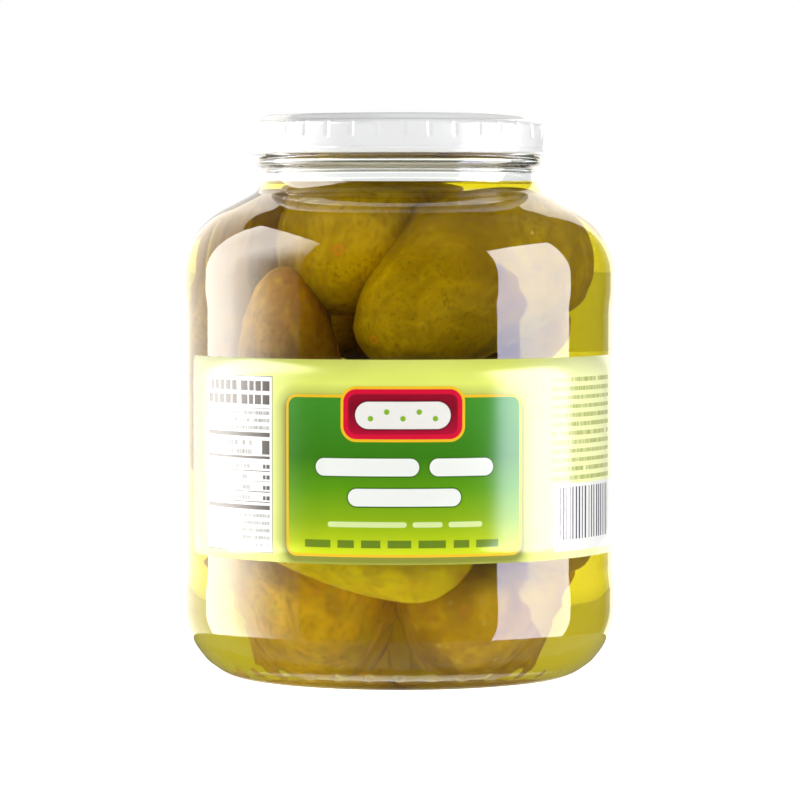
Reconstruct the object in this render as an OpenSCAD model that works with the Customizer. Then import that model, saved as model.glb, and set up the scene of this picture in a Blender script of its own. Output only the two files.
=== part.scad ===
// Wide-mouth grocery jar of whole pickles in brine: glass jar, white lug lid, paper wrap label.
// Frame: origin at the middle of the base, on the surface the jar stands on, +Z up.
// The label faces -Y. All sizes are in millimetres.

/* [Jar] */
// Height of the glass, from the standing ring to the top of the lip
jar_h = 157.5; // [130:0.1:190]
// Radius of the two contact rings, above and below the label panel
body_r = 61.4; // [54.5:0.1:76]
// Depth by which the label panel is sunk below the contact rings
panel_recess = 0.6; // [0.3:0.05:1]
// Thickness of the glass at the shoulder, neck and rings
wall = 2.6; // [1.8:0.05:3.2]
// Thickness of the glass floor
floor_t = 4.4; // [3:0.1:6]

/* [Heel and base] */
// Radius of the large arc that rounds the heel
heel_arc = 20.9; // [14:0.1:26]
// Angle that the large arc turns through, down from the upright side
heel_angle = 64; // [50:0.5:75]
// Radius of the small arc between the large one and the standing ring
foot_arc = 2; // [1:0.1:4]
// Width of the flat standing ring
stand_w = 3.6; // [2:0.1:6]
// Rise of the hollow under the base
push_up = 2.4; // [1:0.1:3]

/* [Shoulder and neck] */
// Radius of the round shoulder
shoulder_arc = 21; // [16:0.1:26]
// Angle of the sloping shoulder from the vertical
shoulder_angle = 62; // [52:0.5:68]
// Radius of the hollow fillet between shoulder and neck
neck_fillet = 7; // [4:0.1:8.5]
// Outer radius of the neck
neck_r = 38.6; // [30:0.1:45]
// Height of the plain neck between the fillet and the bead
neck_low = 1.5; // [1.2:0.1:4]
// How far the bead round the neck stands out
bead_out = 2; // [1.2:0.1:2.6]
// Gap between the bead and the lid's rolled edge
bead_gap = 0.5; // [0.3:0.1:2]

/* [Lid] */
// Clearance between the neck and the rolled edge of the lid
lid_clearance = 1.5; // [1.4:0.1:2.5]
// Thickness of the lid's wall
lid_t = 0.8; // [0.6:0.05:0.9]
// Height of the lid
lid_h = 11.1; // [9.5:0.1:13]
// Radius of the rolled edge at the bottom of the lid
curl_r = 1.1; // [0.9:0.05:1.3]
// Height by which the middle panel stands above the lid's rim
panel_step = 1.7; // [1:0.1:1.8]
// Number of grip flutes
flutes = 36; // [24:1:48]
// Radius of each grip flute
flute_r = 0.9; // [0.6:0.05:1.2]
// Depth of each grip flute
flute_depth = 0.35; // [0.2:0.05:0.4]
// Height of the fluted band below the rim
flute_h = 4.4; // [3:0.1:5.5]

/* [Label] */
// Thickness of the paper
label_t = 0.15; // [0.1:0.01:0.3]
// Angle from the front to the label's left edge
label_left = 71.8; // [40:0.1:88]
// Angle from the front to the label's right edge
label_right = 80.5; // [40:0.1:88]
// Bare panel above the label
label_top_gap = 10.6; // [3:0.1:14]
// Bare panel below the label
label_bottom_gap = 4.9; // [3:0.1:14]
// Radius of the label's corners
label_corner = 2.2; // [1:0.1:5]

/* [Brine] */
// Free height between the brine and the top of the lip
headspace = 18.5; // [12:0.1:26]

/* [Hidden] */

LATHE = 96;       // facets that OpenSCAD draws on a round form
ARC_STEP = 6;     // degrees between the points of an arc
FACE_FRONT = -90; // direction of -Y, which the label faces
EPS = 0.01;

band_h = 3.5;   // straight part of each contact ring
blend_h = 8;    // soft step from a contact ring to the label panel

panel_r = body_r - panel_recess;
inner_r = body_r - wall;

// The heel is a large arc and a small one, tangent to each other, to the side and to the standing ring.
foot_r = body_r - heel_arc + (heel_arc - foot_arc) * cos(heel_angle);
heel_h = (heel_arc - foot_arc) * sin(heel_angle) + foot_arc;
stand_in_r = foot_r - stand_w;
floor_arc = 0.62 * heel_arc; // round inside, between the side and the floor

lid_top = jar_h + lid_t;
lid_low = lid_top - lid_h;
bead_edge = 0.8 * bead_out;
bead_z = lid_low - bead_gap - bead_edge;
bead_r = neck_r + bead_out - bead_edge;
neck_z = bead_z - bead_edge - neck_low;
seam_out = 0.25; // mould seam round the neck
seam_h = 0.7;
finish_r = neck_r - 0.5;
lip_out = 0.5 * (wall - 0.5); // round outer edge of the lip
lip_in = 0.3 * (wall - 0.5);  // round inner edge of the lip

// The sloping shoulder is one straight line, tangent to the round shoulder and to the neck's fillet.
shoulder_r = body_r - shoulder_arc;
slope_low = shoulder_r + shoulder_arc * cos(shoulder_angle);
slope_high = neck_r + neck_fillet * (1 - cos(shoulder_angle));
slope_rise = (slope_low - slope_high) / tan(shoulder_angle);
shoulder_z = neck_z - (neck_fillet + shoulder_arc) * sin(shoulder_angle) - slope_rise;

panel_low = heel_h + band_h + blend_h;
panel_high = shoulder_z - band_h - blend_h;
label_low = panel_low + label_bottom_gap;
label_high = panel_high - label_top_gap;
brine_z = jar_h - headspace;

// The lid rests on the lip. Its middle panel steps down to the rim at 45 degrees, outside the lip.
lid_r = neck_r + lid_clearance + 2 * curl_r;
skirt_lean = 0.3; // the skirt leans out towards the rolled edge
step_gap = 0.35;  // clearance between the step and the lip
panel_edge = finish_r - (2 - sqrt(2)) * lip_out + lid_t * tan(22.5) + step_gap;
rim_z = lid_top - panel_step;
rim_edge = min(1.9, lid_r - skirt_lean - panel_edge - panel_step - 0.1);
rim_r = lid_r - skirt_lean - rim_edge;
button_r = 12;
button_drop = 0.5;

function arc(c, r, a0, a1) =
    let (n = ceil(abs(a1 - a0) / ARC_STEP))
    [for (i = [0:n]) let (a = a0 + (a1 - a0) * i / n) c + r * [cos(a), sin(a)]];

// A soft step in radius between two heights
function blend(r0, z0, r1, z1, n = 8) =
    [for (i = [1:n - 1]) let (t = i / n) [r0 + (r1 - r0) * (1 - cos(180 * t)) / 2, z0 + (z1 - z0) * t]];

// The hollow under the base: flat in the middle, and rounding down to the standing ring
function push_up_curve(n = 10) =
    [for (i = [0:n - 1]) let (t = i / n) [stand_in_r * t, push_up * (1 - pow(t, 4))]];

// The outside of the glass, from the middle of the base up to the lip
function outer_profile() = concat(
    push_up_curve(),
    [[stand_in_r, 0]],
    arc([foot_r, foot_arc], foot_arc, -90, -heel_angle),
    arc([body_r - heel_arc, heel_h], heel_arc, -heel_angle, 0),
    [[body_r, heel_h + band_h]],
    blend(body_r, heel_h + band_h, panel_r, panel_low),
    [[panel_r, panel_low], [panel_r, panel_high]],
    blend(panel_r, panel_high, body_r, shoulder_z - band_h),
    [[body_r, shoulder_z - band_h]],
    arc([shoulder_r, shoulder_z], shoulder_arc, 0, shoulder_angle),
    arc([neck_r + neck_fillet, neck_z], neck_fillet, 180 + shoulder_angle, 180),
    [[neck_r + seam_out, neck_z + seam_h / 2], [neck_r, neck_z + seam_h]],
    arc([bead_r, bead_z], bead_edge, -90, 90),
    [[finish_r, bead_z + bead_edge]],
    arc([finish_r - lip_out, jar_h - lip_out], lip_out, 0, 90)
);

// The inside of the glass, from the lip down to the middle of the floor
function inner_profile() = concat(
    arc([neck_r - wall + lip_in, jar_h - lip_in], lip_in, 90, 180),
    arc([neck_r + neck_fillet, neck_z], neck_fillet + wall, 180, 180 + shoulder_angle),
    arc([shoulder_r, shoulder_z], shoulder_arc - wall, shoulder_angle, 0),
    arc([inner_r - floor_arc, floor_t + floor_arc], floor_arc, 0, -90),
    [[0, floor_t + push_up / 2]]
);

// The glass is open at the mouth and follows the inner profile down to its floor.
module jar() {
    color("lightcyan", 0.35)
        rotate_extrude($fn = LATHE)
            polygon(concat(outer_profile(), inner_profile()));
}

// Everything inside the glass, up to the mouth
module cavity() {
    rotate_extrude($fn = LATHE)
        polygon(concat([[0, jar_h]], inner_profile()));
}

module brine() {
    color("olive", 0.6)
        intersection() {
            cavity();
            cylinder(r = body_r, h = brine_z, $fn = LATHE);
        }
}

// The lid's outer side, from the middle of the vacuum button to the rolled edge
function lid_outer() = concat(
    [[0, lid_top - button_drop], [button_r, lid_top - button_drop], [button_r + 1, lid_top]],
    [[panel_edge, lid_top], [panel_edge + panel_step, rim_z]],
    arc([rim_r, rim_z - rim_edge], rim_edge, 90, 0),
    [[lid_r - EPS, lid_low + curl_r]]
);

// The lid's inner side, back to the middle, one wall thickness inside the outer
function lid_inner() = concat(
    [[lid_r - lid_t, lid_low + curl_r]],
    arc([rim_r, rim_z - rim_edge], rim_edge - lid_t, 0, 90),
    [[panel_edge + panel_step - lid_t * tan(22.5), rim_z - lid_t]],
    [[panel_edge - lid_t * tan(22.5), lid_top - lid_t], [button_r + 1, lid_top - lid_t]],
    [[button_r, lid_top - button_drop - lid_t], [0, lid_top - button_drop - lid_t]]
);

module flute() {
    translate([lid_r - skirt_lean + flute_r - flute_depth, 0, rim_z - flute_h]) {
        sphere(r = flute_r, $fn = 24);
        cylinder(r = flute_r, h = flute_h + EPS, $fn = 24);
    }
}

module lid() {
    color("white") {
        difference() {
            rotate_extrude($fn = LATHE)
                polygon(concat(lid_outer(), lid_inner()));
            for (i = [0:flutes - 1])
                rotate([0, 0, FACE_FRONT + 1.3 + i * 360 / flutes])
                    flute();
        }
        translate([0, 0, lid_low + curl_r])
            rotate_extrude($fn = LATHE)
                translate([lid_r - curl_r, 0])
                    circle(r = curl_r, $fn = 24);
    }
}

// What is cut off a square corner to round it; turned to each corner by its signs
module corner_cutter(side, up) {
    reach = 4 * label_t;
    corner_lap = 0.02; // the round runs out through the edges, so that it meets none of them at a tangent
    mirror([0, side > 0 ? 0 : 1, 0])
        mirror([0, 0, up > 0 ? 0 : 1])
            translate([panel_r - reach, 0, 0])
                difference() {
                    translate([0, -label_corner, -label_corner])
                        cube([2 * reach, 2 * label_corner, 2 * label_corner]);
                    translate([-EPS, -label_corner, -label_corner])
                        rotate([0, 90, 0])
                            cylinder(r = label_corner + corner_lap, h = 2 * reach + 2 * EPS, $fn = 48);
                }
}

module label() {
    color("khaki")
        difference() {
            rotate([0, 0, FACE_FRONT - label_left])
                rotate_extrude(angle = label_left + label_right, $fn = LATHE)
                    translate([panel_r, label_low])
                        square([label_t, label_high - label_low]);
            for (side = [-1, 1], up = [-1, 1])
                translate([0, 0, up > 0 ? label_high : label_low])
                    rotate([0, 0, FACE_FRONT + (side > 0 ? label_right : -label_left)])
                        corner_cutter(side, up);
        }
}

jar();
lid();
label();
brine();
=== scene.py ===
import math

import bpy
import numpy as np
from mathutils import Matrix, Vector, noise


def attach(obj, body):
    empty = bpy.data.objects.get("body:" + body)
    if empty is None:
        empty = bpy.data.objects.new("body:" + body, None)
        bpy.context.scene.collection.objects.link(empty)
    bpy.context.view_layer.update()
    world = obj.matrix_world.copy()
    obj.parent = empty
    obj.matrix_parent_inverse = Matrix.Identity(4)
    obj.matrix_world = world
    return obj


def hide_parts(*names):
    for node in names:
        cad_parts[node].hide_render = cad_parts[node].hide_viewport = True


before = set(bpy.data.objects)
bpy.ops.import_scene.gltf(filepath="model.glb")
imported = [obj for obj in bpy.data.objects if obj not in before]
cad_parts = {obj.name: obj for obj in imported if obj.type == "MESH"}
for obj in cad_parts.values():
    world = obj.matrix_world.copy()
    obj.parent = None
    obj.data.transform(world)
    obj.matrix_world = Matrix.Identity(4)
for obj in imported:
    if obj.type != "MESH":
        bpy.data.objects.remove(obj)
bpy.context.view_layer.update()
MM = 0.001

# ---------------------------------------------------------------- camera

camera = bpy.data.objects.new("camera", bpy.data.cameras.new("camera"))
bpy.context.collection.objects.link(camera)
camera.data.lens = 180
camera.data.sensor_width = 36
camera.location = (0, -1.140, 0.1272)
camera.rotation_euler = (math.radians(90 - 2.5), 0, 0)
camera.data.clip_end = 30
bpy.context.scene.camera = camera
bpy.context.scene.view_settings.view_transform = "Standard"

# ---------------------------------------------------------------- the jar's sizes, in mm, as in the CAD

JAR_H, BODY_R, RECESS, WALL, FLOOR_T = 157.5, 61.4, 0.6, 2.6, 4.4
HEEL_ARC, HEEL_ANGLE, FOOT_ARC, STAND_W, PUSH_UP = 20.9, 64, 2.0, 3.6, 2.4
SHOULDER_ARC, SHOULDER_ANGLE, FILLET = 21.0, 62, 7.0
NECK_R, NECK_LOW, BEAD_OUT, BEAD_GAP = 38.6, 1.5, 2.0, 0.5
LID_CLEAR, LID_T, LID_H, CURL_R, PANEL_STEP = 1.5, 0.8, 11.1, 1.1, 1.7
FLUTES, FLUTE_R, FLUTE_DEPTH, FLUTE_H = 36, 0.9, 0.35, 4.4
LABEL_T, LABEL_LEFT, LABEL_RIGHT = 0.15, 71.8, 80.5
LABEL_TOP_GAP, LABEL_BOTTOM_GAP, LABEL_CORNER = 10.6, 4.9, 2.2
HEADSPACE, BAND_H, BLEND_H = 18.5, 3.5, 8.0


def cosd(a):
    return math.cos(math.radians(a))


def sind(a):
    return math.sin(math.radians(a))


PANEL_R = BODY_R - RECESS
INNER_R = BODY_R - WALL
FOOT_R = BODY_R - HEEL_ARC + (HEEL_ARC - FOOT_ARC) * cosd(HEEL_ANGLE)
HEEL_H = (HEEL_ARC - FOOT_ARC) * sind(HEEL_ANGLE) + FOOT_ARC
STAND_IN = FOOT_R - STAND_W
FLOOR_ARC = 0.62 * HEEL_ARC
LID_TOP = JAR_H + LID_T
LID_LOW = LID_TOP - LID_H
BEAD_EDGE = 0.8 * BEAD_OUT
BEAD_Z = LID_LOW - BEAD_GAP - BEAD_EDGE
BEAD_R = NECK_R + BEAD_OUT - BEAD_EDGE
NECK_Z = BEAD_Z - BEAD_EDGE - NECK_LOW
FINISH_R = NECK_R - 0.5
LIP_OUT, LIP_IN = 0.5 * (WALL - 0.5), 0.3 * (WALL - 0.5)
SHOULDER_R = BODY_R - SHOULDER_ARC
SLOPE_RUN = SHOULDER_R + SHOULDER_ARC * cosd(SHOULDER_ANGLE) - NECK_R - FILLET * (1 - cosd(SHOULDER_ANGLE))
SLOPE_RISE = SLOPE_RUN / math.tan(math.radians(SHOULDER_ANGLE))
SHOULDER_Z = NECK_Z - (FILLET + SHOULDER_ARC) * sind(SHOULDER_ANGLE) - SLOPE_RISE
PANEL_LOW = HEEL_H + BAND_H + BLEND_H
PANEL_HIGH = SHOULDER_Z - BAND_H - BLEND_H
LABEL_LOW = PANEL_LOW + LABEL_BOTTOM_GAP
LABEL_HIGH = PANEL_HIGH - LABEL_TOP_GAP
BRINE_Z = JAR_H - HEADSPACE
LID_R = NECK_R + LID_CLEAR + 2 * CURL_R
PANEL_EDGE = FINISH_R - (2 - math.sqrt(2)) * LIP_OUT + LID_T * math.tan(math.radians(22.5)) + 0.35
RIM_Z = LID_TOP - PANEL_STEP
RIM_EDGE = min(1.9, LID_R - 0.3 - PANEL_EDGE - PANEL_STEP - 0.1)
RIM_R = LID_R - 0.3 - RIM_EDGE

# ---------------------------------------------------------------- mesh helpers


def arc(cx, cz, r, a0, a1, step=3.0):
    """Points on an arc from angle a0 to a1 in degrees, at most step apart."""
    n = max(2, int(math.ceil(abs(a1 - a0) / step)))
    angles = [a0 + (a1 - a0) * i / n for i in range(n + 1)]
    return [(cx + r * cosd(a), cz + r * sind(a)) for a in angles]


def line(a, b, n):
    return [(a[0] + (b[0] - a[0]) * i / n, a[1] + (b[1] - a[1]) * i / n) for i in range(n + 1)]


def blend(r0, z0, r1, z1, n=16):
    """A smooth S-shaped change of radius from r0 to r1."""
    return [(r0 + (r1 - r0) * (1 - cosd(180 * i / n)) / 2, z0 + (z1 - z0) * i / n) for i in range(n + 1)]


def tidy(points, least=1e-4):
    """The points without those that repeat the one before."""
    out = [points[0]]
    for p in points[1:]:
        if math.hypot(p[0] - out[-1][0], p[1] - out[-1][1]) > least:
            out.append(p)
    return out


def new_object(name, verts, faces, smooth=True):
    mesh = bpy.data.meshes.new(name)
    mesh.from_pydata([tuple(v) for v in verts], [], faces)
    mesh.validate()
    mesh.update()
    if smooth:
        mesh.polygons.foreach_set("use_smooth", [True] * len(mesh.polygons))
    obj = bpy.data.objects.new(name, mesh)
    bpy.context.collection.objects.link(obj)
    return obj


def lathe(name, profile, n=256, shift=None):
    """Turns a profile of (radius, height) in mm round Z. Points on the axis become one vertex.
    shift(points, angles) may move the grid of points (rings x n x 3), in mm."""
    prof = tidy(profile)
    angles = np.arange(n) * 2 * math.pi / n
    rings = np.array(prof)
    grid = np.empty((len(prof), n, 3))
    grid[..., 0] = rings[:, :1] * np.cos(angles)
    grid[..., 1] = rings[:, :1] * np.sin(angles)
    grid[..., 2] = rings[:, 1:]
    if shift:
        grid = shift(grid, angles)
    verts, index = [], []
    for i, (r, z) in enumerate(prof):
        if r < 1e-6:
            index.append([len(verts)] * n)
            verts.append((0, 0, z * MM))
        else:
            index.append(list(range(len(verts), len(verts) + n)))
            verts.extend(map(tuple, grid[i] * MM))
    faces = []
    for a, b in zip(index, index[1:]):
        for j in range(n):
            k = (j + 1) % n
            f = [a[j], a[k], b[k], b[j]]
            f = [v for t, v in enumerate(f) if v not in f[:t]]
            if len(f) > 2:
                faces.append(f)
    return new_object(name, verts, faces)


# ---------------------------------------------------------------- material helpers


class Nodes:
    """Builds the node tree of a material or a world from short expressions."""

    def __init__(self, owner, output="ShaderNodeOutputMaterial"):
        owner.use_nodes = True
        self.mat = owner
        self.tree = owner.node_tree
        self.tree.nodes.clear()
        self.out = self.add(output)

    def add(self, kind, **sets):
        node = self.tree.nodes.new(kind)
        for k, v in sets.items():
            setattr(node, k, v)
        return node

    def link(self, a, b):
        self.tree.links.new(a, b)

    def put(self, value, socket):
        if isinstance(value, (int, float)):
            socket.default_value = value
        elif isinstance(value, tuple):
            socket.default_value = value if len(socket.default_value) == len(value) else value + (1,)
        else:
            self.link(value, socket)

    def math(self, op, a, b=0.0, c=0.0, clamp=False):
        node = self.add("ShaderNodeMath", operation=op, use_clamp=clamp)
        for v, s in zip((a, b, c), node.inputs):
            self.put(v, s)
        return node.outputs[0]

    def mix(self, f, a, b):
        node = self.add("ShaderNodeMix", data_type="RGBA", clamp_factor=True)
        self.put(f, node.inputs[0])
        self.put(a, node.inputs[6])
        self.put(b, node.inputs[7])
        return node.outputs[2]

    def noise(self, vector, scale, detail=4.0, rough=0.5, distortion=0.0):
        node = self.add("ShaderNodeTexNoise")
        self.put(vector, node.inputs["Vector"])
        node.inputs["Scale"].default_value = scale
        node.inputs["Detail"].default_value = detail
        node.inputs["Roughness"].default_value = rough
        node.inputs["Distortion"].default_value = distortion
        return node.outputs["Fac"]

    def ramp(self, f, *stops):
        node = self.add("ShaderNodeValToRGB")
        self.put(f, node.inputs[0])
        els = node.color_ramp.elements
        while len(els) < len(stops):
            els.new(0.5)
        for e, (p, c) in zip(els, stops):
            e.position = p
            e.color = (c + (1,)) if isinstance(c, tuple) else (c, c, c, 1)
        return node.outputs[0]

    def mapped(self, vector, scale=(1, 1, 1), loc=(0, 0, 0)):
        node = self.add("ShaderNodeMapping")
        self.link(vector, node.inputs["Vector"])
        node.inputs["Scale"].default_value = scale
        node.inputs["Location"].default_value = loc
        return node.outputs[0]

    def bump(self, height, strength, distance):
        node = self.add("ShaderNodeBump")
        node.inputs["Strength"].default_value = strength
        node.inputs["Distance"].default_value = distance
        self.put(height, node.inputs["Height"])
        return node.outputs[0]

    def principled(self, **sets):
        node = self.add("ShaderNodeBsdfPrincipled")
        for k, v in sets.items():
            self.put(v, node.inputs[k.replace("_", " ")])
        return node

    def vector(self, op, a, b=(0.0, 0.0, 0.0)):
        node = self.add("ShaderNodeVectorMath", operation=op)
        self.put(a, node.inputs[0])
        self.put(b, node.inputs[1])
        return node.outputs["Value"] if op == "LENGTH" else node.outputs[0]

    def fill(self, distance, edge=0.06):
        """1 where the signed distance in mm is negative, with a thin soft edge."""
        return self.math("MULTIPLY_ADD", distance, -0.5 / edge, 0.5, clamp=True)

    def round_box(self, point, centre, size, corner):
        """Signed distance in mm from point (across, up, 0) to a box with round corners."""
        away = self.vector("ABSOLUTE", self.vector("SUBTRACT", point, centre + (0.0,)))
        away = self.vector("ADD", away, (corner - size[0] / 2, corner - size[1] / 2, 0.0))
        outside = self.vector("LENGTH", self.vector("MAXIMUM", away, (0.0, 0.0, 0.0)))
        split = self.add("ShaderNodeSeparateXYZ")
        self.link(away, split.inputs[0])
        inside = self.math("MINIMUM", self.math("MAXIMUM", split.outputs[0], split.outputs[1]), 0.0)
        return self.math("SUBTRACT", self.math("ADD", outside, inside), corner)

    def ring(self, point, centre, radius, width):
        """1 on a thin circle of the given radius and line width, in mm."""
        away = self.vector("LENGTH", self.vector("SUBTRACT", point, centre + (0.0,)))
        off = self.math("ABSOLUTE", self.math("SUBTRACT", away, radius))
        return self.fill(self.math("SUBTRACT", off, width / 2))

    def bars(self, value, bars):
        """1 inside each (start, width) bar along value, in mm. Up to 15 bars."""
        low, high = bars[0][0] - 1.0, bars[-1][0] + bars[-1][1] + 1.0
        node = self.add("ShaderNodeValToRGB")
        node.color_ramp.interpolation = "CONSTANT"
        self.put(self.math("MULTIPLY_ADD", value, 1 / (high - low), -low / (high - low)), node.inputs[0])
        els = node.color_ramp.elements
        els.remove(els[1])
        els[0].position, els[0].color = 0.0, (0, 0, 0, 1)
        for start, width in bars:
            for edge, shade in ((start, 1.0), (start + width, 0.0)):
                new = els.new((edge - low) / (high - low))
                new.color = (shade, shade, shade, 1)
        return node.outputs[0]

    def both(self, *masks):
        out = masks[0]
        for mask in masks[1:]:
            out = self.math("MULTIPLY", out, mask)
        return out

    def lamps_through(self, shader, tint):
        """Light from the lamps passes straight through, so that what is inside is lit."""
        path = self.add("ShaderNodeLightPath")
        clear = self.add("ShaderNodeBsdfTransparent")
        clear.inputs[0].default_value = tint + (1,)
        node = self.add("ShaderNodeMixShader")
        self.link(path.outputs["Is Shadow Ray"], node.inputs[0])
        self.link(shader, node.inputs[1])
        self.link(clear.outputs[0], node.inputs[2])
        return node.outputs[0]


def material(name):
    return Nodes(bpy.data.materials.new(name))


# ---------------------------------------------------------------- glass

GLASS_IOR, BRINE_IOR = 1.5, 1.34


def inner_profile():
    """The inside of the glass, from the fillet down to the floor."""
    return (
        arc(NECK_R + FILLET, NECK_Z, FILLET + WALL, 180, 180 + SHOULDER_ANGLE)
        + arc(SHOULDER_R, SHOULDER_Z, SHOULDER_ARC - WALL, SHOULDER_ANGLE, 0)
        + line((INNER_R, SHOULDER_Z), (INNER_R, FLOOR_T + FLOOR_ARC), 6)
        + arc(INNER_R - FLOOR_ARC, FLOOR_T + FLOOR_ARC, FLOOR_ARC, 0, -90)
        + line((INNER_R - FLOOR_ARC, FLOOR_T), (0, FLOOR_T + PUSH_UP / 2), 12)
    )


def outer_profile():
    """The outside of the glass, from the middle of the base up to the rim."""
    hollow = [(STAND_IN * i / 16, PUSH_UP * (1 - (i / 16) ** 4)) for i in range(17)]
    # a fine raised line round the neck, just above the fillet
    step = [(NECK_R, NECK_Z + 0.05), (NECK_R + 0.2, NECK_Z + 0.25)]
    step += [(NECK_R + 0.2, NECK_Z + 0.45), (NECK_R, NECK_Z + 0.65)]
    fine = 12 - HEEL_ANGLE  # the ridges at the foot need closer rings up to this angle
    return (
        hollow
        + line((STAND_IN, 0), (FOOT_R, 0), 4)
        + arc(FOOT_R, FOOT_ARC, FOOT_ARC, -90, -HEEL_ANGLE)
        + arc(BODY_R - HEEL_ARC, HEEL_H, HEEL_ARC, -HEEL_ANGLE, fine, 1.0)
        + arc(BODY_R - HEEL_ARC, HEEL_H, HEEL_ARC, fine, 0)
        + line((BODY_R, HEEL_H), (BODY_R, HEEL_H + BAND_H), 3)
        + blend(BODY_R, HEEL_H + BAND_H, PANEL_R, PANEL_LOW)
        + line((PANEL_R, PANEL_LOW), (PANEL_R, PANEL_HIGH), 6)
        + blend(PANEL_R, PANEL_HIGH, BODY_R, SHOULDER_Z - BAND_H)
        + line((BODY_R, SHOULDER_Z - BAND_H), (BODY_R, SHOULDER_Z), 3)
        + arc(SHOULDER_R, SHOULDER_Z, SHOULDER_ARC, 0, SHOULDER_ANGLE)
        + arc(NECK_R + FILLET, NECK_Z, FILLET, 180 + SHOULDER_ANGLE, 180)
        + step
        + arc(BEAD_R, BEAD_Z, BEAD_EDGE, -90, 90, 6)
        + line((FINISH_R, BEAD_Z + BEAD_EDGE), (FINISH_R, JAR_H - LIP_OUT), 6)
        + arc(FINISH_R - LIP_OUT, JAR_H - LIP_OUT, LIP_OUT, 0, 90, 10)
    )


def dry_profile():
    """The outside, the rim and the inside of the neck: what the brine doesn't touch."""
    inside = arc(NECK_R - WALL + LIP_IN, JAR_H - LIP_IN, LIP_IN, 90, 180, 15)
    inside += line((NECK_R - WALL, JAR_H - LIP_IN), (NECK_R - WALL, NECK_Z), 8)
    return outer_profile() + inside


def clear_glass(name, mirror):
    """mirror is how strongly the surface reflects: weakly where brine lies against it."""
    m = material(name)
    tone = m.noise(m.add("ShaderNodeTexCoord").outputs["Object"], 14, 2, 0.5)
    tint = m.mix(tone, (0.96, 0.98, 0.965), (0.98, 0.99, 0.985))
    glass = m.principled(
        Base_Color=tint, Roughness=0.0, IOR=GLASS_IOR, Transmission_Weight=1.0, Specular_Tint=(mirror,) * 3)
    m.link(m.lamps_through(glass.outputs[0], (0.96, 0.97, 0.96)), m.out.inputs[0])
    return m.mat


ROUND = 320  # columns round the glass, a multiple of TICKS
TICKS, TICK_LOW, TICK_HIGH, TICK_RISE = 40, 2.2, 5.2, 0.2


def heel_ticks(grid, angles):
    """Small upright ridges round the foot, on the outside only."""
    pitch = 2 * math.pi / TICKS
    across = ((angles + pitch / 2) % pitch) / pitch - 0.5
    ridge = np.clip(1 - np.abs(across) / 0.25, 0, 1)
    r = np.hypot(grid[:, 0, 0], grid[:, 0, 1])
    z = grid[:, 0, 2]
    window = np.clip((z - TICK_LOW) / 0.8, 0, 1) * np.clip((TICK_HIGH - z) / 0.8, 0, 1)
    outside = np.arange(len(z)) < len(tidy(outer_profile()))
    rise = TICK_RISE * (window * outside * (r > FOOT_R))[:, None] * ridge[None, :]
    grid[..., 0] += rise * np.cos(angles)
    grid[..., 1] += rise * np.sin(angles)
    return grid


jar = lathe("jar_glass", dry_profile() + inner_profile(), ROUND, shift=heel_ticks)
jar.data.materials.append(clear_glass("clear glass", 1.0))
jar.data.materials.append(clear_glass("wet glass", 0.1))
dry_rings = len(tidy(dry_profile()))
for face in jar.data.polygons:
    if face.index // ROUND >= dry_rings and face.center.z < BRINE_Z * MM:
        face.material_index = 1
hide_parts("jar")
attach(jar, "root")

# ---------------------------------------------------------------- brine

LAP = 0.3  # how far the brine reaches into the wall
fillet_r = FILLET + WALL - LAP
top_r = NECK_R + FILLET - math.sqrt(fillet_r ** 2 - (NECK_Z - BRINE_Z) ** 2)
top_angle = 180 + math.degrees(math.asin((NECK_Z - BRINE_Z) / fillet_r))
brine_profile = [(0, BRINE_Z)]
brine_profile += line((2.0, BRINE_Z), (top_r - 4.0, BRINE_Z), 12)
brine_profile += line((top_r - 4.0, BRINE_Z), (top_r, BRINE_Z), 4)[1:-1]
brine_profile += (
    arc(NECK_R + FILLET, NECK_Z, fillet_r, top_angle, 180 + SHOULDER_ANGLE)
    + arc(SHOULDER_R, SHOULDER_Z, SHOULDER_ARC - WALL + LAP, SHOULDER_ANGLE, 0)
    + line((INNER_R + LAP, SHOULDER_Z), (INNER_R + LAP, FLOOR_T + FLOOR_ARC), 24)
    + arc(INNER_R - FLOOR_ARC, FLOOR_T + FLOOR_ARC, FLOOR_ARC + LAP, 0, -90)
    + line((INNER_R - FLOOR_ARC, FLOOR_T - LAP), (0, FLOOR_T + PUSH_UP / 2 - LAP), 12)
)
brine = lathe("brine_fill", brine_profile[::-1], 288)
m = material("brine")
liquid = m.principled(
    Base_Color=(1.0, 1.0, 1.0), Roughness=0.0, IOR=BRINE_IOR, Transmission_Weight=1.0,
    Specular_Tint=(0.15,) * 3)
m.link(m.lamps_through(liquid.outputs[0], (1.0, 0.98, 0.9)), m.out.inputs[0])
soak = m.add("ShaderNodeVolumeAbsorption")
soak.inputs["Color"].default_value = (0.90, 0.86, 0.02, 1)
soak.inputs["Density"].default_value = 60
m.link(soak.outputs[0], m.out.inputs["Volume"])
brine.data.materials.append(m.mat)
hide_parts("brine")
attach(brine, "root")

# ---------------------------------------------------------------- pickles


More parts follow.
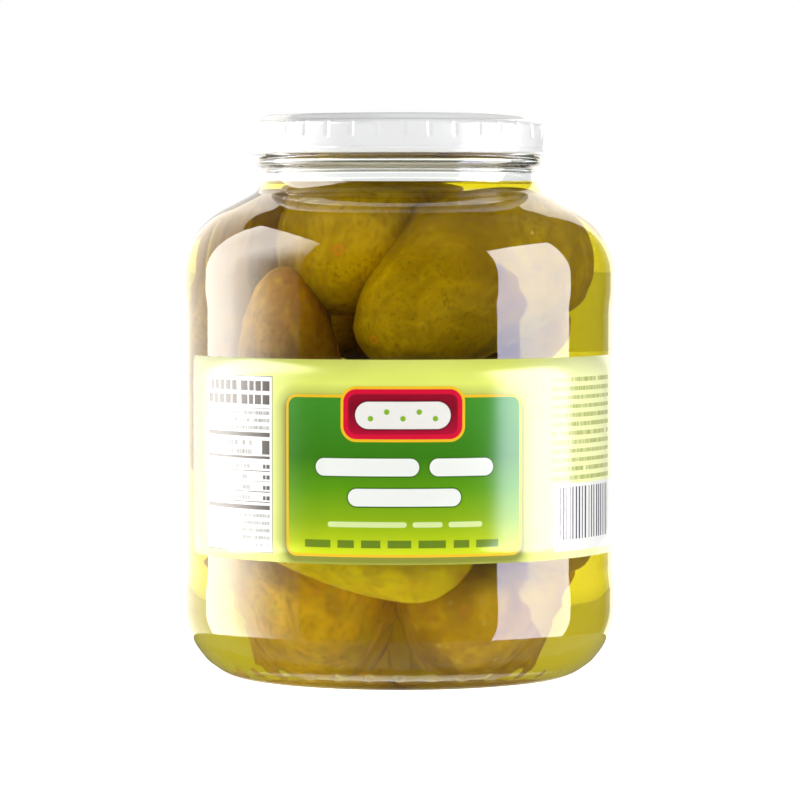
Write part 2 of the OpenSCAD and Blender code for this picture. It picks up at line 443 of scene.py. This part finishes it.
def pickle_skin(name, seed, warm, light, length):
    """Yellow-green skin. warm turns it browner; light scales it: partly its own tone, mostly painted light
    and shade.
    """
    m = material(name)
    co = m.add("ShaderNodeTexCoord").outputs["Object"]
    shift = (seed * 0.37, seed * 0.11, seed * 0.23)
    long = m.mapped(co, (0.22, 1, 1), shift)
    even = m.mapped(co, (1, 1, 1), shift)
    cloud = m.noise(even, 38, 4, 0.6, 0.5)
    patch = m.noise(even, 120, 4, 0.6, 0.8)
    streak = m.noise(long, 230, 5, 0.62, 0.5)
    fine = m.noise(even, 800, 3, 0.6)
    tones = (
        (0.17 + 0.05 * warm, 0.100 - 0.025 * warm, 0.001),
        (0.36 + 0.04 * warm, 0.215 - 0.03 * warm, 0.002),
        (0.62, 0.40 - 0.05 * warm, 0.003),
        (0.80, 0.58 - 0.08 * warm, 0.008),
    )
    # light scales every tone: painted light, paler for the low pickles and darker for the core in shade
    deep, olive, gold, lemon = [tuple(min(0.95, v * light) for v in tone) for tone in tones]
    base = m.mix(m.ramp(cloud, (0.36, 0.0), (0.62, 1.0)), olive, gold)
    base = m.mix(m.math("MULTIPLY", m.ramp(patch, (0.36, 1.0), (0.60, 0.0)), 0.40), base, deep)
    base = m.mix(m.math("MULTIPLY", m.ramp(streak, (0.50, 0.0), (0.78, 1.0)), 0.45), base, lemon)
    base = m.mix(m.math("MULTIPLY", m.ramp(fine, (0.34, 1.0), (0.46, 0.0)), 0.45), base, deep)
    # tiny pale specks, and the blossom scar on each end
    cells = m.add("ShaderNodeTexVoronoi")
    m.put(m.mapped(co, (0.7, 1, 1), shift), cells.inputs["Vector"])
    cells.inputs["Scale"].default_value = 210
    pick = m.add("ShaderNodeSeparateColor")
    m.link(cells.outputs["Color"], pick.inputs[0])
    dot = m.ramp(cells.outputs["Distance"], (0.07, 1.0), (0.14, 0.0))
    speck = m.both(dot, m.ramp(pick.outputs[0], (0.70, 0.0), (0.72, 1.0)))
    base = m.mix(m.math("MULTIPLY", speck, 0.8), base, (0.75, 0.60, 0.10))
    across = m.vector("LENGTH", m.vector("MULTIPLY", co, (0.0, 1000.0, 1000.0)))
    split = m.add("ShaderNodeSeparateXYZ")
    m.link(co, split.inputs[0])
    along = m.math("MULTIPLY", m.math("ABSOLUTE", split.outputs[0]), 2000 / length)
    at_end = m.ramp(along, (0.93, 0.0), (0.96, 1.0))
    scar = m.ramp(m.math("ABSOLUTE", m.math("SUBTRACT", across, 1.0)), (0.25, 1.0), (0.6, 0.0))
    base = m.mix(m.both(at_end, scar, max(0.1, 0.85 - warm)), base, (0.75, 0.30, 0.01))
    skin = m.principled(
        Base_Color=base, Roughness=0.4, IOR=1.36, Specular_IOR_Level=0.02,
        Subsurface_Weight=0.3, Subsurface_Scale=0.004)
    skin.inputs["Subsurface Radius"].default_value = (1.0, 0.8, 0.1)
    height = m.math("ADD", m.math("MULTIPLY", streak, 0.6), m.math("MULTIPLY", fine, 0.25))
    m.link(m.bump(height, 0.35, 0.0006), skin.inputs["Normal"])
    m.link(skin.outputs[0], m.out.inputs[0])
    return m.mat


def pickle(name, centre, heading, length, radius, bend, roll, seed, warm, light):
    """A whole pickle. centre in mm, heading = (azimuth from +X, elevation) of its axis, in degrees."""
    rings, sides, blunt = 150, 120, 2.5
    phi = np.linspace(-math.pi / 2, math.pi / 2, rings)
    theta = np.arange(sides) * 2 * math.pi / sides
    x = length / 2 * np.sign(np.sin(phi)) * np.abs(np.sin(phi)) ** (2 / blunt)
    r = radius * np.abs(np.cos(phi)) ** (2 / blunt)
    part = x / (length / 2)  # -1 at one end, 1 at the other
    rng = np.random.default_rng(seed)
    turn = rng.uniform(0, 2 * math.pi, 3)
    taper = 1 + 0.06 * part * rng.choice((-1, 1))
    lobes = 1 + 0.028 * np.cos(3 * theta + turn[0]) + 0.02 * np.cos(2 * theta + turn[1])
    reach = (r * taper)[:, None] * lobes[None, :]
    grid = np.empty((rings, sides, 3))
    grid[..., 0] = x[:, None]
    grid[..., 1] = reach * np.cos(theta)
    grid[..., 2] = reach * np.sin(theta)

    # swellings, furrows and warts, all real relief
    out_dir = np.empty_like(grid)
    out_dir[..., 0] = 0.4 * part[:, None]
    out_dir[..., 1] = np.cos(theta)
    out_dir[..., 2] = np.sin(theta)
    out_dir /= np.linalg.norm(out_dir, axis=-1, keepdims=True)

    def field(sample, *scales):
        """sample at each point of the grid, whose coordinates are divided by scales."""
        at = grid.reshape(-1, 3) / scales + (seed * 17.3, 0, 0)
        return np.array([sample(Vector(p)) for p in at]).reshape(rings, sides)

    swell = field(noise.noise, 26, 17, 17)
    warts = field(lambda p: noise.voronoi(p)[0][0], 7.5, 6.0, 6.0)
    small = field(noise.noise, 5, 3.2, 3.2)
    relief = 1.3 * swell + 0.75 * np.clip(1 - warts / 0.42, 0, 1) ** 2 + 0.22 * small
    edge = np.clip(r / radius, 0, 1)[:, None] ** 0.5
    grid += out_dir * (relief * edge)[..., None]
    grid[..., 1] += bend * (1 - part ** 2)[:, None] - bend / 2

    # the first and the last ring become one point each
    rows = rings - 2
    verts = [tuple(v * MM) for v in grid[1:-1].reshape(-1, 3)]
    verts += [tuple(end.mean(0) * MM) for end in (grid[0], grid[-1])]
    first, last = rows * sides, rows * sides + 1
    faces = []
    for j in range(sides):
        k = (j + 1) % sides
        faces.append((first, k, j))
        faces.append((last, (rows - 1) * sides + j, (rows - 1) * sides + k))
        for i in range(rows - 1):
            faces.append((i * sides + j, i * sides + k, (i + 1) * sides + k, (i + 1) * sides + j))
    obj = new_object(name, verts, faces)
    azimuth, elevation = heading
    obj.matrix_world = (
        Matrix.Translation(Vector(centre) * MM)
        @ Matrix.Rotation(math.radians(azimuth), 4, "Z")
        @ Matrix.Rotation(math.radians(-elevation), 4, "Y")
        @ Matrix.Rotation(math.radians(roll), 4, "X")
    )
    obj.data.materials.append(pickle_skin(name + "_skin", seed, warm, light, length))
    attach(obj, "root")


PICKLES = [
    # name, centre, (azimuth, elevation), length, radius, bend, roll, warm, light (mostly painted light and
    # shade)
    ("end_on", (-8.5, -2, 120.5), (80, 2), 84, 17.5, 2, 0, 0.0, 1.1),
    ("left_upright", (-26, -15, 78), (80, 115), 78, 14, 2, 90, 0.8, 1.3),
    ("upper_diagonal", (17, -27, 110), (46, 22), 74, 19, 2, 0, 0.1, 0.9),
    ("top_back", (7, 30, 100), (-48, -7), 66, 15.5, 3, 0, 0.2, 1.0),
    # the low pickles' high light values are painted light, for light thrown up from below
    ("lower_left", (-17, 2, 27), (84, 3), 74, 20, 2, 0, 0.3, 1.5),
    ("lower_middle", (-15, -36, 46), (158, 24), 74, 16.5, 2, 0, 0.0, 1.9),
    ("lower_right", (17, -9, 24.5), (90, 3), 84, 18.5, 2, 0, 0.4, 1.25),
    ("middle_front", (20, -34, 58), (30, -35), 80, 15.5, 3, 0, 0.3, 1.0),
    ("back_left", (-27, 18, 82), (91, 90), 84, 14.5, 3, 0, 0.2, 1.0),
    ("back_right", (20, 21, 59), (112, 26), 80, 14, 3, 0, 0.1, 1.0),
    ("back_low", (-10, 41, 66), (11, -60), 60, 14, 3, 0, 0.1, 1.0),
    # the core's low light value is painted shade, for the dark gap between the pickles
    ("core", (0, 5, 61), (99, 52), 66, 15, 2, 0, 0.3, 0.35),
    ("low_cross", (1, 44, 17), (0, 0), 36, 12, 1, 0, 0.2, 2.8),
]
for i, (name, centre, heading, length, radius, bend, roll, warm, light) in enumerate(PICKLES):
    pickle("pickle_" + name, centre, heading, length, radius, bend, roll, i + 1, warm, light)

# ---------------------------------------------------------------- label


def label_mesh():
    """A thin curved sheet with rounded corners: columns of points that follow its outline."""
    rows, even, round_steps = 8, 240, 12
    corner = math.degrees(LABEL_CORNER / PANEL_R)
    spread = [-LABEL_LEFT + (LABEL_LEFT + LABEL_RIGHT) * i / even for i in range(even + 1)]
    columns = {a for a in spread if -LABEL_LEFT + corner < a < LABEL_RIGHT - corner}
    for i in range(round_steps + 1):
        in_corner = corner * (1 - cosd(90 * i / round_steps))
        columns |= {-LABEL_LEFT + in_corner, LABEL_RIGHT - in_corner}
    columns = sorted(columns)
    verts, faces = [], []
    for a in columns:
        to_end = min(a + LABEL_LEFT, LABEL_RIGHT - a) * math.radians(1) * PANEL_R
        inset = 0.0
        if to_end < LABEL_CORNER:
            inset = LABEL_CORNER - math.sqrt(max(0.0, LABEL_CORNER ** 2 - (LABEL_CORNER - to_end) ** 2))
        low, high = LABEL_LOW + inset, LABEL_HIGH - inset
        for r in (PANEL_R + 0.01, PANEL_R + LABEL_T - 0.01):
            for k in range(rows + 1):
                verts.append((r * sind(a) * MM, -r * cosd(a) * MM, (low + (high - low) * k / rows) * MM))
    per = 2 * (rows + 1)
    loop = list(range(rows + 1)) + list(range(per - 1, rows, -1))
    for i in range(len(columns) - 1):
        for t in range(per):
            a, b = loop[t], loop[(t + 1) % per]
            faces.append((i * per + a, i * per + b, (i + 1) * per + b, (i + 1) * per + a))
    faces.append(tuple(loop)[::-1])
    faces.append(tuple((len(columns) - 1) * per + v for v in loop))
    obj = new_object("label_paper", verts, faces, smooth=False)
    for p in obj.data.polygons:
        p.use_smooth = abs(p.normal.z) < 0.3  # the top and bottom edges stay sharp
    return obj


# places on the label, in mm: s runs round from the front, positive to the right, and z up from the base
PANEL_MID, PANEL_SIZE = (1.3, 59.4), (67.4, 44.0)
BADGE_MID, BADGE_SIZE = (0.8, 76.2), (32.6, 13.6)
FACTS_MID, FACTS_SIZE = (-51.0, 61.9), (28.2, 48.4)
BARS_MID, BARS_SIZE = (66.0, 46.8), (39.0, 18.6)
CORNER, EDGE = 3.2, 0.75  # the panel's corner and the width of its gold edge
TEXT_LEFT, TEXT_RIGHT = -64.0, -38.0  # the facts box's text runs between these
WORDS = (
    # low, high, foot, height, whether it has a dark edge
    (-23.4, 5.2, 59.4, 4.8, True),
    (8.0, 26.0, 59.4, 4.8, True),
    (-14.2, 16.7, 51.2, 4.8, True),
    (-19.9, 1.8, 45.5, 1.5, False),
    (3.4, 11.6, 45.5, 1.5, False),
    (13.2, 22.8, 45.5, 1.5, False),
)
# rows in the facts box: (height of the foot, thickness)
THICK_RULES = ((49.4, 1.15), (63.3, 0.7), (69.4, 1.1))
THIN_RULES = tuple((foot, 0.14) for foot in (51.4, 54.2, 57.0, 59.9, 77.0))
HEADS = ((78.3, 2.6), (82.0, 2.7))
TABLE = [(foot, 1.1) for foot in (52.1, 54.9, 57.8, 60.7)]
RINGS = (((40.2, 83.2), 2.2), ((40.2, 76.4), 2.1), ((40.0, 42.3), 1.6))
INK, GOLD = (0.06, 0.045, 0.04), (0.90, 0.52, 0.008)


def blocks(rng, low, high, count, gap, word_gap=0.0, words=()):
    """Uneven bars from low to high in mm, gap apart, with a wider gap before each number in words."""
    widths = rng.uniform(0.75, 1.25, count)
    room = high - low - gap * (count - 1) - word_gap * len(words)
    widths *= room / widths.sum()
    out, at = [], low
    for i, w in enumerate(widths):
        at += word_gap if i in words else 0.0
        out.append((at, w))
        at += w + gap
    return out


def even_rows(low, high, count, thick):
    """count rows of the given thickness, spread evenly from low to high."""
    step = (high - low - thick) / (count - 1)
    return [(low + i * step, thick) for i in range(count)]


class Print:
    """The label's colour, built up one field or mark at a time."""

    def __init__(self, m):
        self.m = m
        self.rng = np.random.default_rng(46)
        self.at = m.add("ShaderNodeTexCoord").outputs["Object"]
        split = m.add("ShaderNodeSeparateXYZ")
        m.link(m.vector("MULTIPLY", self.at, (1000.0, -1000.0, 1000.0)), split.inputs[0])
        self.s = m.math("MULTIPLY", m.math("ARCTAN2", split.outputs[0], split.outputs[1]), PANEL_R)
        self.z = split.outputs[2]
        point = m.add("ShaderNodeCombineXYZ")
        m.link(self.s, point.inputs[0])
        m.link(self.z, point.inputs[1])
        self.point = point.outputs[0]
        self.art = None

    def lay(self, mask, colour):
        self.art = self.m.mix(mask, self.art, colour)

    def box(self, mid, size, corner):
        return self.m.round_box(self.point, mid, size, corner)

    def field(self, box, colour, grow=0.0, edge=0.06):
        """Fills a box, grown by so many mm."""
        self.lay(self.m.fill(self.m.math("SUBTRACT", box, grow), edge), colour)

    def crossing(self, across, rows, colour, strength=1.0):
        """Bars that lie both in across and in rows."""
        m = self.m
        self.lay(m.both(m.bars(self.s, across), m.bars(self.z, rows), strength), colour)

    def rise_in(self, mid, size):
        """0 at the foot of a box and 1 at its top."""
        return self.m.math("MULTIPLY_ADD", self.z, 1 / size[1], 0.5 - mid[1] / size[1])

    def dashes(self, rows, low, high, seed, cover, strength, colour):
        """Rows of small print as uneven dashes from low to high. cover is how much of a row they fill."""
        m = self.m
        pitch = rows[1][0] - rows[0][0]
        row = m.math("FLOOR", m.math("MULTIPLY_ADD", self.z, 1 / pitch, -rows[0][0] / pitch + 0.2))
        spot = m.add("ShaderNodeCombineXYZ")
        m.link(m.math("MULTIPLY", self.s, 0.42), spot.inputs[0])
        m.link(m.math("MULTIPLY_ADD", row, 3.7, seed), spot.inputs[1])
        word = m.ramp(m.noise(spot.outputs[0], 1.0, 0.0), (1 - cover - 0.07, 0.0), (1 - cover - 0.03, 1.0))
        grain = m.add("ShaderNodeTexWhiteNoise", noise_dimensions="2D")
        cell = m.add("ShaderNodeCombineXYZ")
        m.link(m.math("FLOOR", m.math("MULTIPLY", self.s, 2.4)), cell.inputs[0])
        m.link(row, cell.inputs[1])
        m.link(cell.outputs[0], grain.inputs["Vector"])
        tone = m.math("MULTIPLY_ADD", grain.outputs["Value"], 0.6, 0.4)
        area = m.both(m.bars(self.z, rows), m.bars(self.s, [(low, high - low)]))
        self.lay(m.both(area, word, tone, strength), colour)

    def ground(self):
        """A pale yellow-green ground, paler towards both ends (partly print, partly a painted highlight of
        the side lights), with a soft printed shadow round the panel.
        """
        m = self.m
        plain = m.mix(m.noise(self.at, 60, 3, 0.5), (0.76, 0.84, 0.14), (0.80, 0.88, 0.17))
        side = m.math("MULTIPLY", m.math("ABSOLUTE", self.s), 1 / 84)
        # paler towards both ends: partly the print's own fade, partly painted highlight where the side lights
        # wash the label out
        pale = m.ramp(side, (0.34, 0.0), (0.62, 0.60), (0.95, 0.85))
        self.art = m.mix(pale, plain, (0.92, 0.93, 0.60))
        shadow = self.box((PANEL_MID[0], PANEL_MID[1] - 1.2), PANEL_SIZE, CORNER)
        shade = m.ramp(m.math("MULTIPLY", shadow, 0.2), (0.0, 0.85), (0.35, 0.36), (0.9, 0.0))
        self.lay(shade, (0.16, 0.17, 0.005))

    def panel(self):
        """The green panel with its gold edge."""
        green = self.m.ramp(
            self.rise_in(PANEL_MID, PANEL_SIZE),
            (0.03, (0.62, 0.74, 0.0)), (0.22, (0.28, 0.47, 0.0)), (0.42, (0.11, 0.34, 0.0)),
            (0.62, (0.042, 0.22, 0.004)), (0.95, (0.050, 0.28, 0.015)))
        panel = self.box(PANEL_MID, PANEL_SIZE, CORNER)
        self.field(panel, GOLD)
        self.field(panel, green, -EDGE)

    def badge(self):
        """The red badge that laps over the panel's top, with a plain gherkin shape and a few pips."""
        red = self.m.ramp(
            self.rise_in(BADGE_MID, BADGE_SIZE),
            (0.1, (0.46, 0.0, 0.03)), (0.6, (0.24, 0.0, 0.012)), (1.0, (0.34, 0.0, 0.02)))
        badge = self.box(BADGE_MID, BADGE_SIZE, 3.6)
        self.field(badge, GOLD, EDGE)
        self.field(badge, (0.72, 0.0, 0.035))
        self.field(badge, red, -1.35, 0.25)
        across, up = BADGE_MID[0], BADGE_MID[1] - 0.3
        gherkin = self.box((across, up), (26.0, 7.4), 3.69)
        self.field(gherkin, (0.10, 0.0, 0.01), 0.35)
        self.field(gherkin, (0.86, 0.84, 0.80))
        for i in range(5):
            pip = (across + 4.4 * (i - 2), up + (0.9 if i % 2 else -0.9))
            self.lay(self.m.ring(self.point, pip, 0.0, 1.5), (0.24, 0.48, 0.02))

    def words(self):
        """Where the wording was: plain round-ended bars, and a row of blocks at the panel's foot."""
        for low, high, foot, tall, edge in WORDS:
            word = self.box(((low + high) / 2, foot + tall / 2), (high - low, tall), tall / 2 - 0.01)
            if edge:
                self.field(word, (0.03, 0.13, 0.005), 0.35)
            self.field(word, (0.88, 0.90, 0.86) if edge else (0.72, 0.84, 0.36))
        amounts = [(a, w - 1.0) for a, w in blocks(self.rng, -26.7, 28.5, 7, 1.0)]
        self.crossing(amounts, [(39.9, 2.1)], (0.15, 0.25, 0.008))

    def facts(self):
        """The facts box: a thin border, rules, blocks for its heading, and dashes."""
        box = self.box(FACTS_MID, FACTS_SIZE, 0.05)
        self.field(box, (0.10, 0.09, 0.08))
        self.field(box, (0.88, 0.88, 0.87), -0.2)
        self.crossing([(-64.3, 26.4)], sorted(THICK_RULES + THIN_RULES), INK)
        for k, head in enumerate(HEADS):
            row = blocks(self.rng, TEXT_LEFT + 1.2 * k, TEXT_RIGHT, 9, 0.55, 1.2, (5,))
            self.crossing(row, [head], INK)
        self.dashes(even_rows(71.4, 76.4, 3, 0.95), TEXT_LEFT, TEXT_RIGHT, 5.0, 0.62, 0.75, INK)
        self.dashes(even_rows(64.6, 68.3, 2, 1.3), TEXT_LEFT, TEXT_RIGHT - 6.0, 11.0, 0.66, 0.85, INK)
        self.crossing([(-40.6, 2.6)], [(64.6, 3.8)], INK)
        self.dashes(TABLE, TEXT_LEFT, TEXT_RIGHT - 7.0, 17.0, 0.55, 0.7, INK)
        self.crossing([(-40.3, 0.95), (-39.1, 1.15)], TABLE, INK)
        self.dashes(even_rows(39.3, 48.2, 5, 0.9), TEXT_LEFT, TEXT_RIGHT, 23.0, 0.68, 0.6, INK)

    def right_side(self):
        """Three plain rings, small print, and a block of uneven bars on white."""
        m = self.m
        for mid, radius in RINGS:
            self.lay(m.both(m.ring(self.point, mid, radius, 0.28), 0.75), (0.20, 0.21, 0.13))
            self.lay(m.both(m.ring(self.point, mid, 0.0, 1.1), 0.5), (0.20, 0.21, 0.13))
        self.dashes(even_rows(57.0, 85.3, 12, 1.15), 45.5, 78.0, 31.0, 0.70, 0.8, (0.28, 0.33, 0.05))
        self.field(self.box(BARS_MID, BARS_SIZE, 0.3), (0.86, 0.86, 0.85))
        for low, high in ((48.8, 61.9), (63.0, 76.2)):
            thin = [(a, w * self.rng.uniform(0.35, 0.9)) for a, w in blocks(self.rng, low, high, 9, 0.5)]
            self.crossing(thin, [(40.6, 14.5)], (0.06, 0.045, 0.10))


def label_paper():
    m = material("label print")
    sheet = Print(m)
    for step in (sheet.ground, sheet.panel, sheet.badge, sheet.words, sheet.facts, sheet.right_side):
        step()
    fibre = m.noise(sheet.at, 2600, 2, 0.5)
    paper = m.principled(Base_Color=sheet.art, Roughness=m.ramp(fibre, (0.3, 0.17), (0.7, 0.24)), IOR=1.5)
    waves = m.math("ADD", m.math("MULTIPLY", fibre, 0.04), m.noise(sheet.at, 45, 2, 0.5))
    m.link(m.bump(waves, 0.25, 0.0006), paper.inputs["Normal"])
    m.link(paper.outputs[0], m.out.inputs[0])
    return m.mat


label = label_mesh()
label.data.materials.append(label_paper())
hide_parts("label")
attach(label, "root")

# ---------------------------------------------------------------- lid


def lid_profile():
    """Out over the raised panel, down the rim and skirt, round the curled edge, and back underneath."""
    # a round button in the middle, half a millimetre down
    outer = [(r, LID_TOP - 0.5) for r in (0, 8, 12)] + [(12.5, LID_TOP - 0.25), (13, LID_TOP)]
    outer += line((13.5, LID_TOP), (PANEL_EDGE - 1.0, LID_TOP), 10)
    outer += arc(PANEL_EDGE - 0.9, LID_TOP - 2.2, 2.2, 90, 45, 9)
    outer += line((PANEL_EDGE + 0.9, RIM_Z + 0.75), (PANEL_EDGE + PANEL_STEP - 0.2, RIM_Z + 0.08), 3)
    outer += arc(RIM_R, RIM_Z - RIM_EDGE, RIM_EDGE, 90, 0, 6)
    outer += line((LID_R - 0.3, RIM_Z - RIM_EDGE - 0.2), (LID_R - 0.1, LID_LOW + 2 * CURL_R + 0.2), 14)
    outer += arc(LID_R - CURL_R, LID_LOW + CURL_R, CURL_R, 40, -180, 15)
    inner = line((LID_R - 2 * CURL_R + 0.1, LID_LOW + 1.6 * CURL_R), (LID_R - 1.2, LID_LOW + 3.2), 2)
    inner += arc(RIM_R, RIM_Z - RIM_EDGE, RIM_EDGE - LID_T, 0, 90, 15)
    inner += [(PANEL_EDGE + PANEL_STEP - 0.33, RIM_Z - LID_T), (PANEL_EDGE - 0.33, LID_TOP - LID_T)]
    return outer + inner + [(0, LID_TOP - LID_T)]


def flute_shift(grid, angles):
    """Shallow upright grooves in the skirt, below the rim."""
    front = math.radians(-90 + 1.3)
    pitch = 2 * math.pi / FLUTES
    across = (((angles - front + pitch / 2) % pitch) - pitch / 2) * LID_R
    reach = math.sqrt(FLUTE_R ** 2 - (FLUTE_R - FLUTE_DEPTH) ** 2) * 1.25
    groove = FLUTE_DEPTH * np.clip(1 - (across / reach) ** 2, 0, 1) ** 1.2
    r = np.hypot(grid[:, 0, 0], grid[:, 0, 1])
    z = grid[:, 0, 2]
    low = RIM_Z - FLUTE_H
    window = np.clip((z - low + 0.8) / 0.8, 0, 1) * np.clip((RIM_Z - 0.1 - z) / 1.2, 0, 1)
    cut = (window * (r > RIM_R + 0.6))[:, None] * groove[None, :]
    grid[..., 0] -= cut * np.cos(angles)
    grid[..., 1] -= cut * np.sin(angles)
    return grid


lid = lathe("lid_cap", lid_profile(), 720, shift=flute_shift)
m = material("white enamel")
co = m.add("ShaderNodeTexCoord").outputs["Object"]
haze = m.noise(co, 220, 3, 0.5)
paint = m.principled(
    Base_Color=(0.86, 0.865, 0.87), Roughness=m.ramp(haze, (0.3, 0.16), (0.7, 0.24)),
    Coat_Weight=0.3, Coat_Roughness=0.08)
m.link(m.bump(haze, 0.05, 0.0002), paint.inputs["Normal"])
m.link(paint.outputs[0], m.out.inputs[0])
lid.data.materials.append(m.mat)
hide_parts("lid")
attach(lid, "root")

# ---------------------------------------------------------------- floor, world and lights


def disc(name, radius, z, shade, glow, inside_glow):
    """A pale disc. shade is its colour, glow its own light, and inside_glow that light as seen through the
    glass and the brine."""
    n = 96
    ring = [(radius * cosd(360 * i / n), radius * sind(360 * i / n), 0) for i in range(n)]
    obj = new_object(name, [(0, 0, 0)] + ring, [(0, i + 1, (i + 1) % n + 1) for i in range(n)])
    obj.location.z = z
    m = material(name + " white")
    path = m.add("ShaderNodeLightPath")
    grain = m.noise(m.add("ShaderNodeTexCoord").outputs["Object"], 30, 3, 0.5)
    tone = m.mix(grain, (0.97 * shade,) * 3, (1.03 * shade,) * 3)
    flat = m.principled(Base_Color=tone, Roughness=0.9, Specular_IOR_Level=0.0)
    flat.inputs["Emission Color"].default_value = (1, 1, 1, 1)
    strength = m.math("MULTIPLY_ADD", path.outputs["Is Transmission Ray"], inside_glow - glow, glow)
    m.link(strength, flat.inputs["Emission Strength"])
    m.link(flat.outputs[0], m.out.inputs[0])
    obj.data.materials.append(m.mat)
    return obj


# Reflections see the floor only close round the jar, and dim: the veil, and the brighter spot under the foot.
floor = disc("floor", 3.0, -0.0004, 0.9, 1.0, 1.3)
floor.visible_glossy = False
veil = disc("veil", 0.085, -0.0002, 0.4, 0.03, 0.03)
veil_foot = disc("veil_foot", 0.050, -0.00015, 0.4, 0.6, 0.6)
for spot in (veil, veil_foot):
    spot.visible_camera = spot.visible_diffuse = spot.visible_transmission = spot.visible_shadow = False


AMBIENT, INSIDE = 0.12, 0.9  # the world's strength as light, and as seen through the glass at the sides


def studio_world():
    """White to the camera, even and dim as light. Reflections see white only well behind the jar. What is
    seen through the glass is white behind the jar, and dark towards the camera."""
    world = bpy.data.worlds.new("studio")
    bpy.context.scene.world = world
    m = Nodes(world, "ShaderNodeOutputWorld")
    path = m.add("ShaderNodeLightPath")
    split = m.add("ShaderNodeSeparateXYZ")
    m.link(m.add("ShaderNodeTexCoord").outputs["Generated"], split.inputs[0])
    back = m.math("MULTIPLY_ADD", split.outputs["Y"], 0.5, 0.5)
    seen_through = m.ramp(back, (0.08, 0.12), (0.22, INSIDE), (0.60, INSIDE), (0.75, 1.0))
    mirrored = m.ramp(back, (0.88, 0.0), (0.97, 1.0))
    colour = m.mix(path.outputs["Is Diffuse Ray"], mirrored, (AMBIENT,) * 3)
    colour = m.mix(path.outputs["Is Transmission Ray"], colour, seen_through)
    colour = m.mix(path.outputs["Is Camera Ray"], colour, (1.0, 1.0, 1.0))
    glow = m.add("ShaderNodeBackground")
    m.link(colour, glow.inputs[0])
    m.link(glow.outputs[0], m.out.inputs[0])


studio_world()


SOFTBOX_AWAY, SOFTBOX_LOW = 0.6, -0.55  # metres from the jar's axis, and the height of its lower edge
STRIP = 12.0  # strength of the left softbox


def softbox(name, azimuth, width, high, paint):
    """A glowing panel that shows in reflections only. azimuth is from the camera's side, in degrees, positive
    to the right. paint(m, across, up) gives its colour and strength: across goes from 0 at the far edge to 1
    at the near one."""
    a = math.radians(azimuth)
    out_dir = Vector((math.sin(a), -math.cos(a), 0))
    side = Vector((math.cos(a), math.sin(a), 0)) * (1 if azimuth < 0 else -1)
    low = SOFTBOX_LOW
    corners = [(u, z) for u in (-0.5, 0.5) for z in (low, high)]
    verts = [out_dir * SOFTBOX_AWAY + side * (u * width) + Vector((0, 0, z)) for u, z in corners]
    obj = new_object(name, verts, [(0, 2, 3, 1)])
    m = material(name + " glow")
    split = m.add("ShaderNodeSeparateXYZ")
    m.link(m.add("ShaderNodeTexCoord").outputs["Object"], split.inputs[0])
    along = m.math(
        "ADD", m.math("MULTIPLY", split.outputs[0], side.x / width),
        m.math("MULTIPLY", split.outputs[1], side.y / width))
    along = m.math("ADD", along, 0.5)
    up = m.math("MULTIPLY_ADD", split.outputs[2], 1 / (high - low), -low / (high - low))
    glow = m.add("ShaderNodeEmission")
    colour, strength = paint(m, along, up)
    m.put(colour, glow.inputs[0])
    m.put(strength, glow.inputs[1])
    m.link(glow.outputs[0], m.out.inputs[0])
    obj.data.materials.append(m.mat)
    obj.visible_camera = False
    obj.visible_transmission = False
    obj.visible_diffuse = False
    return obj


def left_glow(m, across, up):
    """Bright at the far edge, fading towards the near one, less so high up."""
    lift = m.ramp(up, (0.60, 0.0), (0.80, 0.30))
    fade = m.ramp(
        m.math("SUBTRACT", across, lift),
        (0.0, 0.70), (0.35, 0.95), (0.55, 0.62), (0.75, 0.17), (0.92, 0.05))
    return (1.0, 0.96, 0.90), m.math("MULTIPLY", fade, STRIP)


def dim_glow(m, across, up):
    """An even, weak glow for the cards that mark the glass's far edges."""
    return (1.0, 0.94, 0.84), 2.2


def right_glow(m, across, up):
    """Bright, dimmer at the far edge, and a little blue and dimmer at the near lower corner."""
    corner = m.math("SUBTRACT", m.math("MULTIPLY", across, 0.8), up)
    blue = m.ramp(corner, (-0.32, 0.0), (-0.22, 1.0))
    even = m.ramp(across, (0.0, 0.72), (0.25, 0.80), (0.6, 1.0), (1.0, 1.0))
    return m.mix(blue, (1.0, 0.97, 0.95), (0.66, 0.67, 0.88)), m.math("MULTIPLY", even, 13.5)


AIM = Vector((0, 0, 0.08))


def lamp(name, azimuth, elevation, distance, size, watts):
    """A soft lamp that lights the jar but doesn't show. It points at AIM."""
    a, e = math.radians(azimuth), math.radians(elevation)
    data = bpy.data.lights.new(name, "AREA")
    data.shape = "SQUARE"
    data.size = size
    data.energy = watts
    obj = bpy.data.objects.new(name, data)
    bpy.context.collection.objects.link(obj)
    away = Vector((math.sin(a) * math.cos(e), -math.cos(a) * math.cos(e), math.sin(e))) * distance
    obj.location = away + AIM
    obj.rotation_euler = away.to_track_quat("Z", "Y").to_euler()
    obj.visible_camera = False
    obj.visible_glossy = False
    obj.visible_transmission = False
    return obj


softbox("softbox_left", -87.5, 0.84, 0.85, left_glow)
softbox("card_left", -143, 0.485, 0.60, dim_glow)
softbox("card_right", 160, 0.30, 0.60, dim_glow)
softbox("softbox_right", 74.3, 0.53, 0.55, right_glow)
lamp("lamp_left", -72, 22, 0.9, 0.7, 7.0)
lamp("lamp_right", 74, 22, 0.9, 0.7, 5.5)
lamp("lamp_top", 0, 70, 0.9, 0.7, 3)
lamp("bounce", 0, -90, 0.0801, 0.11, 0.22)  # just above the floor, for the light that it throws back up
